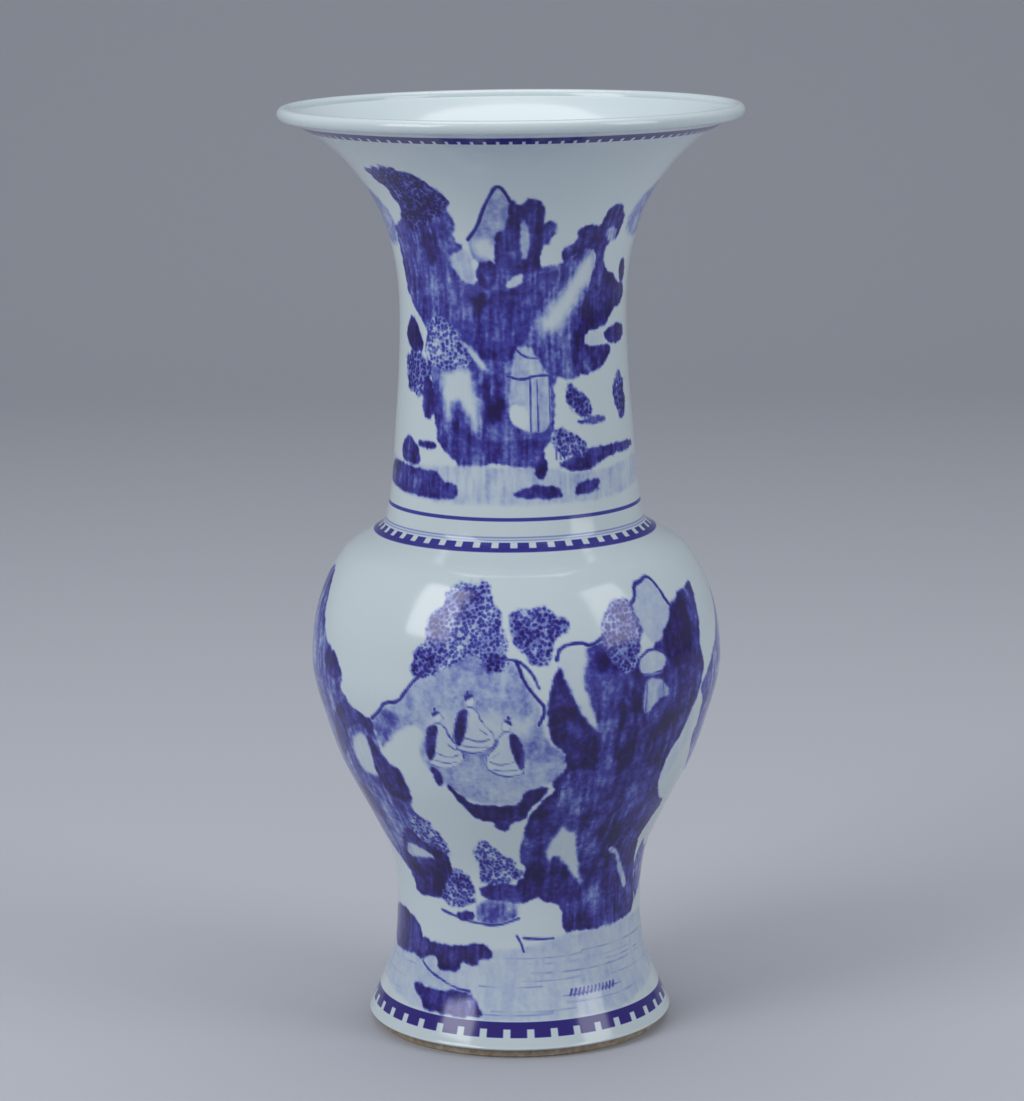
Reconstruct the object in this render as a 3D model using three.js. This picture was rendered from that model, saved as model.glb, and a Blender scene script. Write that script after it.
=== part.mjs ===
// A tall porcelain vase with a trumpet mouth, a long neck, a swelling shoulder,
// a drawn-in waist and a spreading foot. It was thrown in five bottomless
// sections and a base disc, which are luted together with slip and fired as one.
// Millimetres, +Z up, with the foot ring standing on z = 0.

import * as THREE from 'three';

// Rises of the body, each from one named height to the next.
const WAIST_RISE = 58;
const LOWER_BODY_RISE = 128;
const SHOULDER_RISE = 68.5;
const NECK_RISE = 101.5;
const TRUMPET_RISE = 92.5;

// Outer radii at those heights.
const FOOT_RADIUS = 75.2;
const WAIST_RADIUS = 60.7;
const BELLY_RADIUS = 100.6;
const COLLAR_RADIUS = 63.4;
const NECK_RADIUS = 55;
const MOUTH_RADIUS = 112.5;

// The rolled lip, and the two tiers of the foot.
const LIP_ROLL_RADIUS = 3.25;
const FOOT_RING_RADIUS = 71.5;
const FOOT_RING_HEIGHT = 4.4;
const FOOT_RING_WIDTH = 9;
const FOOT_EDGE_ROUND = 1.2;

// Wall thickness of each part of the body.
const TRUMPET_WALL = 5;
const NECK_WALL = 6;
const BELLY_WALL = 7;
const FOOT_WALL = 8.5;

// Base disc, set up into the foot section from below.
const BASE_HEIGHT = 16;
const BASE_THICKNESS = 9;
const BASE_LEDGE = 6;
const BASE_CLEARANCE = 0.3;
const SLIP_FILLET = 3.5;

// Luting joints, each a bed of slip with a small bead squeezed out inside.
const SLIP_BED = 0.8;
const SLIP_BEAD = 1.2;
const WAIST_JOINT_RISE = 16;
const MOUTH_JOINT_RISE = 24;

const SIDES = 36;
const SECTION_STEP = 20;
const LIP_STEPS = 6;
const SLOPE_STEP = 0.05;
const KNOT_MARGIN = 2;

// The lip's roll starts under the rim and turns over into the bore. Its foot lies
// this many roll radii inside the mouth.
const ROLL_START = -Math.PI / 4;
const ROLL_TURN = 1.25 * Math.PI;
const ROLL_TUCK = 1.75;

// A slanting wall is wider across than it is thick, up to this many times.
const WIDEST_SLANT = 1.6;

// How the outer line leans where two curves meet, and knots between those places:
// share of the rise, share of the change in radius, lean as a share of the mean.
const FOOT_EDGE_LEAN = -0.32;
const COLLAR_LEAN = -0.25;
const LIP_LEAN = 1.95;
const FOOT_KNOTS = [[0.26, 0.4, 1.72], [0.59, 0.84, 0.93]];
const LOWER_BODY_KNOTS = [[0.21, 0.055, 0.7], [0.375, 0.275, 1.6], [0.56, 0.586, 1.62], [0.773, 0.845, 1]];
const SHOULDER_KNOTS = [[0.29, 0.05, 0.36], [0.577, 0.223, 0.85], [0.774, 0.446, 1.57], [0.895, 0.77, 3.4]];
const NECK_KNOTS = [[0.5, 0.7, 1.03]];
const TRUMPET_KNOTS = [[0.41, 0.098, 0.53], [0.631, 0.273, 1.1], [0.872, 0.645, 2.05]];

const waistHeight = WAIST_RISE;
const bellyHeight = waistHeight + LOWER_BODY_RISE;
const collarHeight = bellyHeight + SHOULDER_RISE;
const neckHeight = collarHeight + NECK_RISE;
const lipHeight = neckHeight + TRUMPET_RISE;
const lipRadius = MOUTH_RADIUS - LIP_ROLL_RADIUS * ROLL_TUCK;

// Knots of the outer line: height, radius and lean (radius gained per height).
function span(low, high, steps) {
  const rise = high.height - low.height;
  const reach = high.radius - low.radius;
  return steps.map(([up, out, lean]) => ({
    height: low.height + rise * up,
    radius: low.radius + reach * out,
    lean: (lean * reach) / rise,
  }));
}

const footEdge = { height: FOOT_RING_HEIGHT, radius: FOOT_RADIUS, lean: FOOT_EDGE_LEAN };
const waist = { height: waistHeight, radius: WAIST_RADIUS, lean: 0 };
const belly = { height: bellyHeight, radius: BELLY_RADIUS, lean: 0 };
const collar = { height: collarHeight, radius: COLLAR_RADIUS, lean: COLLAR_LEAN };
const neck = { height: neckHeight, radius: NECK_RADIUS, lean: 0 };
const lipFoot = { height: lipHeight, radius: lipRadius, lean: LIP_LEAN };

const knots = [
  footEdge,
  ...span(footEdge, waist, FOOT_KNOTS),
  waist,
  ...span(waist, belly, LOWER_BODY_KNOTS),
  belly,
  ...span(belly, collar, SHOULDER_KNOTS),
  collar,
  ...span(collar, neck, NECK_KNOTS),
  neck,
  ...span(neck, lipFoot, TRUMPET_KNOTS),
  lipFoot,
];

function outerRadius(height) {
  let index = 0;
  while (index < knots.length - 2 && height > knots[index + 1].height) index += 1;
  const low = knots[index];
  const high = knots[index + 1];
  const rise = high.height - low.height;
  const t = THREE.MathUtils.clamp((height - low.height) / rise, 0, 1);
  const square = t * t;
  const cube = square * t;
  const fromLow = low.radius * (2 * cube - 3 * square + 1) + low.lean * rise * (cube - 2 * square + t);
  const fromHigh = high.radius * (3 * square - 2 * cube) + high.lean * rise * (cube - square);
  return fromLow + fromHigh;
}

// Wall thickness square to the outer line, blended from one part to the next.
function wallAt(height) {
  const { smoothstep, lerp } = THREE.MathUtils;
  const low = lerp(FOOT_WALL, BELLY_WALL, smoothstep(height, waistHeight, bellyHeight));
  const middle = lerp(low, NECK_WALL, smoothstep(height, bellyHeight, collarHeight));
  return lerp(middle, TRUMPET_WALL, smoothstep(height, neckHeight, lipHeight));
}

function innerRadius(height) {
  const slope = (outerRadius(height + SLOPE_STEP) - outerRadius(height - SLOPE_STEP)) / (2 * SLOPE_STEP);
  return outerRadius(height) - wallAt(height) * Math.min(Math.hypot(1, slope), WIDEST_SLANT);
}

// Heights of a section's rings: its two ends, the knots, and even steps clear of the knots.
function heightsBetween(from, to) {
  const count = Math.max(1, Math.round((to - from) / SECTION_STEP));
  const low = from + KNOT_MARGIN;
  const high = to - KNOT_MARGIN;
  const inside = knots.map((knot) => knot.height).filter((height) => height > low && height < high);
  const even = Array.from({ length: count + 1 }, (_, index) => from + ((to - from) * index) / count);
  const spaced = even.filter((height) => inside.every((other) => Math.abs(other - height) > 2 * KNOT_MARGIN));
  const all = new Set([from, ...inside, ...spaced, to]);
  return [...all].sort((a, b) => a - b);
}

function line(radius, from, to) {
  return heightsBetween(from, to).map((height) => new THREE.Vector2(radius(height), height));
}

// Turned shapes: an outline in radius and height, spun about the vertical axis.
function turned(outline) {
  const geometry = new THREE.LatheGeometry(outline, SIDES);
  geometry.rotateX(Math.PI / 2);
  return geometry;
}

function ringOf(outline) {
  return turned([...outline, outline[0].clone()]);
}

const glazedPorcelain = new THREE.MeshStandardMaterial({ color: 0xccd6dc, roughness: 0.16, metalness: 0 });
const cobaltPorcelain = new THREE.MeshStandardMaterial({ color: 0x8f9dc4, roughness: 0.16, metalness: 0 });
const dryFootPorcelain = new THREE.MeshStandardMaterial({ color: 0xd9d2c2, roughness: 0.6, metalness: 0 });
const slip = new THREE.MeshStandardMaterial({ color: 0xe4e2da, roughness: 0.45, metalness: 0 });

const vase = new THREE.Group();

function add(name, geometry, material) {
  const mesh = new THREE.Mesh(geometry, material);
  mesh.name = name;
  vase.add(mesh);
}

function wallSection(name, from, to, material) {
  const outline = [...line(outerRadius, from, to), ...line(innerRadius, from, to).reverse()];
  add(name, ringOf(outline), material);
}

function slipSeam(name, from) {
  const to = from + SLIP_BED;
  const outline = [
    new THREE.Vector2(outerRadius(from), from),
    new THREE.Vector2(outerRadius(to), to),
    new THREE.Vector2(innerRadius(to), to),
    new THREE.Vector2(innerRadius(from) - SLIP_BEAD, (from + to) / 2),
    new THREE.Vector2(innerRadius(from), from),
  ];
  add(name, ringOf(outline), slip);
}

function mouthSection(from) {
  const centre = new THREE.Vector2(MOUTH_RADIUS - LIP_ROLL_RADIUS, lipHeight + LIP_ROLL_RADIUS);
  const roll = Array.from({ length: LIP_STEPS + 1 }, (_, index) => {
    const angle = ROLL_START + (ROLL_TURN * index) / LIP_STEPS;
    const reach = new THREE.Vector2(Math.cos(angle), Math.sin(angle));
    return reach.multiplyScalar(LIP_ROLL_RADIUS).add(centre);
  });
  const inner = line(innerRadius, from, lipHeight).reverse();
  add('mouth_section', ringOf([...line(outerRadius, from, lipHeight), ...roll, ...inner]), glazedPorcelain);
}

function footSection(to) {
  const ringInside = FOOT_RING_RADIUS - FOOT_RING_WIDTH;
  const baseTop = BASE_HEIGHT + BASE_THICKNESS;
  const edge = FOOT_RING_HEIGHT + FOOT_EDGE_ROUND;
  const outline = [
    new THREE.Vector2(FOOT_RING_RADIUS, 0),
    new THREE.Vector2(FOOT_RING_RADIUS, FOOT_RING_HEIGHT),
    new THREE.Vector2(outerRadius(edge) - FOOT_EDGE_ROUND, FOOT_RING_HEIGHT),
    ...line(outerRadius, edge, to),
    ...line(innerRadius, baseTop + BASE_THICKNESS, to).reverse(),
    new THREE.Vector2(ringInside - BASE_LEDGE, baseTop),
    new THREE.Vector2(ringInside, baseTop),
    new THREE.Vector2(ringInside, 0),
  ];
  add('foot_section', ringOf(outline), dryFootPorcelain);
  return ringInside - BASE_CLEARANCE;
}

const waistJoint = waistHeight + WAIST_JOINT_RISE;
const bellyJoint = bellyHeight;
const neckJoint = collarHeight;
const mouthJoint = neckHeight + MOUTH_JOINT_RISE;

const discRadius = footSection(waistJoint);
slipSeam('waist_seam', waistJoint);
wallSection('lower_belly_section', waistJoint + SLIP_BED, bellyJoint, cobaltPorcelain);
slipSeam('belly_seam', bellyJoint);
wallSection('shoulder_section', bellyJoint + SLIP_BED, neckJoint, cobaltPorcelain);
slipSeam('collar_seam', neckJoint);
wallSection('neck_section', neckJoint + SLIP_BED, mouthJoint, cobaltPorcelain);
slipSeam('mouth_seam', mouthJoint);
mouthSection(mouthJoint + SLIP_BED);

add('base_disc', turned([
  new THREE.Vector2(0, BASE_HEIGHT),
  new THREE.Vector2(discRadius, BASE_HEIGHT),
  new THREE.Vector2(discRadius, BASE_HEIGHT + BASE_THICKNESS),
  new THREE.Vector2(0, BASE_HEIGHT + BASE_THICKNESS),
]), glazedPorcelain);

add('base_slip_fillet', ringOf([
  new THREE.Vector2(discRadius, BASE_HEIGHT - SLIP_FILLET),
  new THREE.Vector2(discRadius, BASE_HEIGHT),
  new THREE.Vector2(discRadius - SLIP_FILLET, BASE_HEIGHT),
]), slip);

export default vase;
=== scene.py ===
import bpy
import math
import numpy as np
from mathutils import Matrix, Vector


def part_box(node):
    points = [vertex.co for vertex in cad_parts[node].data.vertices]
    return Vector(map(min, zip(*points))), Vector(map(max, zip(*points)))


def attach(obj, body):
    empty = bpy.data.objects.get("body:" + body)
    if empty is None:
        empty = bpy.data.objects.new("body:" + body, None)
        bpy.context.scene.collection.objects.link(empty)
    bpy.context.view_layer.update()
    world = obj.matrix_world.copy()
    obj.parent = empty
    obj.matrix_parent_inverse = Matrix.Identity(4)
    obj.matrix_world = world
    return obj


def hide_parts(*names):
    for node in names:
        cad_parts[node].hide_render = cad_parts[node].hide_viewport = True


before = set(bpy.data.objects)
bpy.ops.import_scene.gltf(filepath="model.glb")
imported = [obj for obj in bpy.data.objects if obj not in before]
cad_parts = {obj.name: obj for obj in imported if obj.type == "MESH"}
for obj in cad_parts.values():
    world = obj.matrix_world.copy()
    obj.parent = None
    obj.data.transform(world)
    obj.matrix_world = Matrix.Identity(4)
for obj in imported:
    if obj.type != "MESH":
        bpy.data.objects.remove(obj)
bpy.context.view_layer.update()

# Sizes in millimetres, turned to metres where a mesh or a node takes them.
MM = 0.001
LIP_ROLL = 3.25
MOUTH_RADIUS = 112.5
FOOT_RING_RADIUS = 71.5
FOOT_RING_WIDTH = 9
FOOT_RING_HEIGHT = 4.4
FOOT_EDGE_ROUND = 1.4
RING_INNER_CHAMFER = 0.6
RING_OUTER_CHAMFER = 0.8
BASE_TOP = 25
BASE_THICKNESS = 9
BASE_LEDGE = 6
DRY_LINE_SLACK = 0.1

# How finely the pieces are turned: steps round the axis, and millimetres between rows.
TURN_STEPS = 600
ROW_STEP = 0.85
INNER_ROW_STEP = 9
SLOPE_STEP = 0.05
MERGE_DISTANCE = 0.01
SMOOTH_DEGREES = 35
LIP_DEGREES = (-55, 180)
LIP_POINTS = 15
FOOT_EDGE_DEGREES = (-90, -15)
FOOT_EDGE_POINTS = 5

# Knots of the outer line: height, radius and lean (radius gained per height).
KNOTS = [
    (4.4, 75.2, -0.32), (18.3, 69.4, -0.46), (36, 63, -0.25), (58, 60.7, 0),
    (84.9, 62.9, 0.218), (106, 71.7, 0.499), (129.7, 84.1, 0.505), (156.9, 94.4, 0.312),
    (186, 100.6, 0), (205.9, 98.7, -0.195), (225.5, 92.3, -0.46), (239, 84, -0.853),
    (247.3, 72, -1.85), (254.5, 63.4, -0.25), (305.2, 57.5, -0.085), (356, 55, 0),
    (393.9, 60, 0.3), (414.4, 69, 0.62), (436.7, 88.1, 1.16), (448.5, 106.8, 1.95),
]

# Wall thickness by height. A slanting wall is wider across, up to this many times.
WALL_HEIGHTS = (58, 186, 254.5, 356, 448.5)
WALLS = (8.5, 7, 6, 6, 5)
WIDEST_SLANT = 1.6


def outer_radius(height):
    """The outer line: a smooth curve from each knot to the next."""
    height = np.asarray(height, float)
    result = np.zeros_like(height)
    for (z0, r0, lean0), (z1, r1, lean1) in zip(KNOTS, KNOTS[1:]):
        rise = z1 - z0
        t = np.clip((height - z0) / rise, 0, 1)
        low = r0 * (2 * t**3 - 3 * t**2 + 1) + lean0 * rise * (t**3 - 2 * t**2 + t)
        high = r1 * (3 * t**2 - 2 * t**3) + lean1 * rise * (t**3 - t**2)
        result = np.where((height >= z0) & (height <= z1), low + high, result)
    result = np.where(height < KNOTS[0][0], KNOTS[0][1], result)
    return np.where(height > KNOTS[-1][0], KNOTS[-1][1], result)


def inner_radius(height):
    height = np.asarray(height, float)
    slope = (outer_radius(height + SLOPE_STEP) - outer_radius(height - SLOPE_STEP)) / (2 * SLOPE_STEP)
    wall = np.interp(height, WALL_HEIGHTS, WALLS)
    return outer_radius(height) - wall * np.minimum(np.hypot(1, slope), WIDEST_SLANT)


# The painter's canvas: degrees round the vase, from -180 to 180 with 0 at the
# front, and millimetres up. Three layers: wash, brush line and leaf dabs.
DEGREE_STEP = 0.4
HEIGHT_STEP = 0.6
TOP = 455
COLUMNS = int(360 / DEGREE_STEP)
ROWS = int(TOP / HEIGHT_STEP) + 1
degrees = -180 + DEGREE_STEP * np.arange(COLUMNS)
heights = HEIGHT_STEP * np.arange(ROWS)
mm_per_degree = np.radians(1) * outer_radius(heights)
wash = np.zeros((ROWS, COLUMNS))
ink = np.zeros((ROWS, COLUMNS))
leaf = np.zeros((ROWS, COLUMNS))


def smooth_noise(cell_degrees, cell_mm, seed):
    """A seamless smooth noise field from -1 to 1, with cells of that size."""
    wide = int(360 / cell_degrees)
    tall = int(TOP / cell_mm) + 3
    field = np.random.default_rng(seed).uniform(-1, 1, (tall, wide))
    across = (degrees + 180) / cell_degrees
    up = heights / cell_mm
    c0 = across.astype(int) % wide
    c1 = (c0 + 1) % wide
    r0 = up.astype(int)
    fx = across % 1
    fy = (up % 1)[:, None]
    fx = (fx * fx * (3 - 2 * fx))[None, :]
    fy = fy * fy * (3 - 2 * fy)
    low = field[r0][:, c0] * (1 - fx) + field[r0][:, c1] * fx
    high = field[r0 + 1][:, c0] * (1 - fx) + field[r0 + 1][:, c1] * fx
    return low * (1 - fy) + high * fy


# The brush's unevenness, each field with its cells in degrees and millimetres and a seed.
ragged = 0.6 * smooth_noise(3, 3, 1) + 0.4 * smooth_noise(1.2, 1.2, 2)
lumpy = 0.7 * smooth_noise(4.5, 4.5, 3) + 0.3 * smooth_noise(2, 2, 4)
streaky = 0.6 * smooth_noise(1.8, 22, 5) + 0.4 * smooth_noise(4, 40, 6)
clouded = smooth_noise(9, 12, 7)
hemp = smooth_noise(1.2, 9, 8)


def step(value, low, high):
    """Rises smoothly from 0 at low to 1 at high."""
    t = np.clip((value - low) / (high - low), 0, 1)
    return t * t * (3 - 2 * t)


def window(points, margin):
    """Rows and columns of the canvas round these points, and their offsets in millimetres."""
    points = np.asarray(points, float)
    around = points[:, 0]
    up = points[:, 1]
    centre = around.mean()
    scale = float(np.interp(up.mean(), heights, mm_per_degree))
    rows = np.where((heights > up.min() - margin) & (heights < up.max() + margin))[0]
    turned = (degrees - centre + 180) % 360 - 180
    reach = np.abs(around - centre).max() + margin / scale
    columns = np.where(np.abs(turned) < reach)[0]
    x = turned[columns][None, :] * scale
    y = heights[rows][:, None]
    flat = np.column_stack([(around - centre) * scale, up])
    return np.ix_(rows, columns), x, y, flat


def line_distance(x, y, points):
    """Distance from each place to the nearest stretch of the line."""
    best = np.full(np.broadcast(x, y).shape, 1e9)
    for (ax, ay), (bx, by) in zip(points, points[1:]):
        dx, dy = bx - ax, by - ay
        t = np.clip(((x - ax) * dx + (y - ay) * dy) / max(dx * dx + dy * dy, 1e-9), 0, 1)
        best = np.minimum(best, np.hypot(x - ax - t * dx, y - ay - t * dy))
    return best


def inside(x, y, points):
    """Whether each place lies inside the closed line."""
    result = np.zeros(np.broadcast(x, y).shape, bool)
    for (ax, ay), (bx, by) in zip(points, np.roll(points, -1, axis=0)):
        if ay != by:
            crosses = (ay > y) != (by > y)
            result ^= crosses & (x < (bx - ax) * (y - ay) / (by - ay) + ax)
    return result


# The landscape is painted twice: at the front, and again half a turn round.
side = {"turn": 0}


def placed(points):
    return [(side["turn"] + a, z) for a, z in points]


# How the brush behaves: shares of a side or a tone, then millimetres.
CORNER = 0.25
HEMP_SHARE = 0.8
CLOUD_SHARE = 0.14
RIM_WIDTH = 2.2
AREA_MARGIN = 6
BRUSH_MARGIN = 3
TIP_WAVER = 0.25
TIP_CORE = 0.4
TIP_EDGE = 0.45


def rounded(points, closed):
    """The same line with its corners cut, as a loaded brush rounds them."""
    following = points[1:] + points[:1] if closed else points[1:]
    cut = []
    for (ax, ay), (bx, by) in zip(points, following):
        cut.append(((1 - CORNER) * ax + CORNER * bx, (1 - CORNER) * ay + CORNER * by))
        cut.append((CORNER * ax + (1 - CORNER) * bx, CORNER * ay + (1 - CORNER) * by))
    return cut if closed else [points[0]] + cut + [points[-1]]


def area(points, tone, soft=0.7, rough=0.9, streak=0.0, leaves=0.0, clumps=0.0, rim=0.0):
    """A filled shape of one tone, painted over what is there, darker along its rim."""
    cells, x, y, flat = window(placed(rounded(list(points), True)), AREA_MARGIN + soft)
    edge = line_distance(x, y, np.vstack([flat, flat[:1]]))
    distance = np.where(inside(x, y, flat), edge, -edge)
    distance = distance + rough * ragged[cells] + clumps * lumpy[cells]
    mask = step(distance, -soft, soft)
    pooled = rim * np.exp(-np.maximum(distance, 0) / RIM_WIDTH)
    uneven = streak * (streaky[cells] + HEMP_SHARE * hemp[cells]) + CLOUD_SHARE * clouded[cells]
    shade = np.clip(tone * (1 + uneven) + pooled, 0, 1)
    wash[cells] = wash[cells] * (1 - mask) + shade * mask
    ink[cells] = ink[cells] * (1 - mask)
    leaf[cells] = leaf[cells] * (1 - mask) + leaves * mask


def brush(points, width, tone=0.85):
    """A line drawn with the brush's tip."""
    cells, x, y, flat = window(placed(rounded(list(points), False)), BRUSH_MARGIN + width)
    distance = line_distance(x, y, flat)
    half = width / 2 + TIP_WAVER * lumpy[cells]
    mask = tone * (1 - step(distance, half - TIP_CORE, half + TIP_EDGE))
    ink[cells] = np.maximum(ink[cells], mask)


def foliage(points, tone=0.5):
    """A clump of leaves: a lumpy wash, marked in the leaf layer to be broken into dabs."""
    area(points, tone, soft=0.8, rough=1.2, streak=0.15, leaves=1.0, clumps=1.8)


def rock(points, tone=0.85, streak=0.22):
    """A cliff or bank in streaked wash, with colour pooled along its rim."""
    area(points, tone * 0.9, soft=0.7, rough=0.9, streak=streak, rim=0.14)


def light(points, tone=0.03, soft=2.0):
    """A reserve of bare white left for the light on a rock or on water."""
    area(points, tone, soft=soft, rough=0.8, streak=0.5)


def paint_far_hills():
    area([(60, 400), (64, 412), (75, 420), (92, 421), (92, 395), (70, 392)], 0.32, soft=2)
    area([(-92, 420), (-76, 418), (-66, 410), (-62, 400), (-70, 388), (-92, 395)], 0.32, soft=2)
    area([(-20, 396), (-15, 403), (-11, 412), (-7, 420), (-5, 422.5), (-3, 421), (-1, 416),
          (1, 413), (1, 396), (-6, 388), (-10, 384), (-18, 385), (-20, 392)], 0.27)


def paint_peaks():
    light([(-19, 394), (-12, 398), (-7, 391), (-8, 385), (-16, 388)])
    rock([(-1, 416), (1, 415), (3, 412), (6, 416), (9, 416), (12, 413), (14, 408), (13, 403),
          (16, 405), (19, 404), (20, 400), (17, 394), (14, 392), (12, 386), (14, 381), (8, 380),
          (2, 381), (-8, 380), (-8, 398), (-2, 402)], 0.78)
    light([(3, 404), (6, 406), (8, 395), (7, 386), (4, 387)], 0.16, 0.8)


def paint_neck_cliff():
    rock([(-62, 428), (-55, 425), (-50, 430), (-42, 429), (-36, 425), (-30, 420), (-25, 415),
          (-28, 409), (-24, 404), (-28, 396), (-22, 392), (-30, 386), (-24, 376), (-17, 374),
          (-12, 384), (0, 382), (14, 382), (24, 384), (30, 388), (40, 391), (43, 383), (42, 372),
          (38, 362), (37, 330), (28, 328), (20, 330), (20, 312), (18, 300), (10, 292), (-20, 290),
          (-28, 290), (-38, 296), (-42, 310), (-44, 330), (-50, 340), (-47, 352), (-60, 362),
          (-66, 372), (-62, 390), (-62, 400), (-54, 404), (-52, 415), (-58, 424)], 0.62, 0.3)
    foliage([(-64, 428), (-50, 431), (-40, 430), (-30, 421), (-25, 416), (-28, 410), (-34, 405),
             (-44, 400), (-50, 398), (-54, 404), (-52, 415), (-60, 425)], 0.78)
    model(NECK_MODELLING)
    light([(-31, 384), (-28, 390), (-20, 391), (-18, 374), (-24, 375)], 0.14, 1)
    rock([(-18, 384), (-8, 386), (-8, 374), (-16, 372)], 0.78)
    rock([(-20, 352), (-10, 372), (-4, 371), (4, 374), (14, 380), (24, 381), (20, 372), (10, 360),
          (8, 350), (2, 346), (-2, 336), (-10, 340), (-20, 338)], 0.74, 0.25)
    light([(-5, 374), (4, 381), (6, 377), (0, 372)], 0.05, 0.8)


def paint_neck_right_cliff():
    light([(42, 388), (43, 380), (41, 370), (38, 372), (34, 366), (24, 352), (16, 350), (12, 356),
           (18, 362), (26, 372), (32, 382), (38, 389)], 0.02, 4)
    rock([(23, 386), (24, 391), (30, 394), (30, 400), (35, 402), (42, 401), (43, 405), (46, 411),
          (52, 411), (56, 405), (58, 400), (56, 394), (50, 393), (48, 385), (52, 378), (58, 377),
          (64, 371), (73, 371), (72, 362), (58, 358), (54, 352), (48, 351), (38, 350), (38, 343),
          (56, 343), (58, 340), (50, 333), (40, 330), (30, 330), (34, 350), (38, 366), (41, 372),
          (44, 385), (40, 391), (32, 389), (26, 384)], 0.88)
    light([(48, 400), (54, 399), (55, 394), (50, 392), (46, 396)], 0.25, 1)
    rock([(52, 349), (60, 352), (73, 351), (73, 344), (58, 342), (52, 346)])
    rock([(63, 382), (69, 383), (73, 372), (66, 370)])
    light([(38, 349), (48, 350), (53, 346), (50, 343), (38, 343)], 0.06, 0.8)


def paint_neck_left_bank():
    light([(-38, 330), (-30, 334), (-22, 334), (-20, 328), (-16, 308), (-19, 302), (-22, 312),
           (-30, 320), (-33, 308), (-37, 320)], 0.02, 3)
    light([(-29, 348), (-22, 346), (-12, 334), (-16, 334), (-24, 342)], 0.08, 1.2)
    foliage([(-46, 356), (-40, 358), (-32, 355), (-28, 349), (-22, 342), (-20, 336), (-30, 334),
             (-40, 332), (-50, 338), (-48, 348)], 0.42)
    rock([(-66, 400), (-56, 400), (-52, 385), (-50, 372), (-58, 368), (-66, 370)], 0.7, 0.3)
    rock([(-66, 352), (-60, 358), (-54, 352), (-50, 342), (-54, 338), (-62, 341), (-68, 346)], 0.95)
    light([(-61, 359), (-54, 357), (-50, 350), (-51, 344), (-54, 351), (-59, 356)], 0.04, 0.8)
    foliage([(-66, 340), (-50, 340), (-44, 332), (-48, 322), (-56, 318), (-66, 322)], 0.55)
    rock([(-50, 330), (-42, 326), (-42, 308), (-50, 310)])
    rock([(-66, 296), (-60, 300), (-52, 295), (-50, 286), (-60, 285), (-68, 289)], 0.92)
    rock([(-52, 298), (-40, 298), (-40, 295), (-52, 295)], 0.8)


def paint_neck_river():
    rock([(-38, 300), (-30, 312), (-20, 300), (0, 300), (14, 302), (14, 294), (16, 288), (14, 282),
          (10, 283), (8, 288), (4, 287), (-8, 290), (-20, 287), (-26, 287), (-28, 290)], 0.68, 0.3)
    area([(-92, 288), (-60, 285), (-26, 288), (10, 288), (20, 286), (30, 283), (92, 288),
          (92, 270), (-92, 270)], 0.12, soft=1.2, streak=0.6)
    rock([(-84, 283), (-70, 286), (-50, 284), (-40, 285), (-36, 280), (-28, 280), (-27, 272),
          (-40, 271), (-60, 272), (-82, 273), (-88, 278)], 0.76)
    rock([(6, 279), (22, 278), (22, 272), (-4, 274)], 0.75)
    rock([(29, 278), (40, 280), (43, 279), (42, 274), (29, 273)])
    rock([(10, 290), (14, 294), (16, 288), (14, 282), (10, 283)], 0.8)
    rock([(28, 292), (38, 295), (60, 295), (76, 294), (76, 291), (48, 290), (40, 285), (30, 284),
          (20, 288)], 0.76)
    rock([(30, 308), (40, 310), (50, 309), (50, 306), (36, 306)], 0.65)
    foliage([(58, 326), (66, 332), (70, 322), (69, 308), (64, 305), (58, 312)], 0.78)
    foliage([(26, 326), (30, 326), (36, 320), (40, 314), (38, 310), (32, 311), (28, 316)], 0.66)
    foliage([(18, 305), (24, 306), (33, 300), (37, 296), (34, 291), (20, 292)], 0.55)


def paint_pavilion():
    light([(0, 344), (8, 346), (12, 340), (18, 330), (18, 304), (4, 304), (-3, 312), (-1, 332)], 0.16, 0.8)
    light([(-2, 316), (1, 318), (7, 316), (7, 306), (4, 305), (-2, 311)], 0.0, 0.6)


def draw_neck_lines():
    brush([(-20, 396), (-15, 402), (-12, 410), (-8, 418), (-6, 422), (-4, 422), (-2, 418), (0, 413)],
          1.5, 0.9)
    brush([(-3, 331), (4, 329), (10, 331), (19, 331)], 1.1)
    brush([(0, 345), (5, 340), (12, 339)], 1.0, 0.7)
    for place, top, foot in ((8, 329, 304), (11.5, 329, 304), (17.5, 330, 303)):
        brush([(place, top), (place, foot)], 0.9, 0.7)
    for place in range(20, 36, 2):
        brush([(place, 297), (place, 291)], 0.6, 0.75)


def paint_neck():
    paint_far_hills()
    paint_peaks()
    paint_neck_cliff()
    paint_neck_right_cliff()
    paint_neck_left_bank()
    paint_neck_river()
    paint_pavilion()
    draw_neck_lines()


# A seated figure, drawn about the foot of its neck: degrees across and millimetres up.
ROBE = (
    (-5, -22), (-5.4, -13), (-3.4, -3), (-1, 0), (1.6, -1),
    (3, -8), (6, -13), (6.6, -19), (3, -23), (-1, -24),
)
JACKET = ((-3, -2), (-4.6, -8), (-5.4, -18), (-4, -21), (-2.2, -15), (-1.2, -8), (-0.6, -3), (-1, -0.8))
FOLDS = (
    (((-2, -16), (2, -18), (5, -16)), 0.7),
    (((-3, -20), (1, -21), (4, -20)), 0.65),
    (((2, -11), (4, -13.5)), 0.7),
)
HAIR = ((-1.7, 2.6), (-1.6, 4.8), (-0.4, 6), (0.9, 5.4), (-0.4, 4.2))
TOPKNOT = ((-0.8, 6.4), (-0.7, 7.2))
HEAD_HALF_WIDTH = 1.5
HEAD_HALF_HEIGHT = 2.6
HEAD_POINTS = 12


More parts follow.
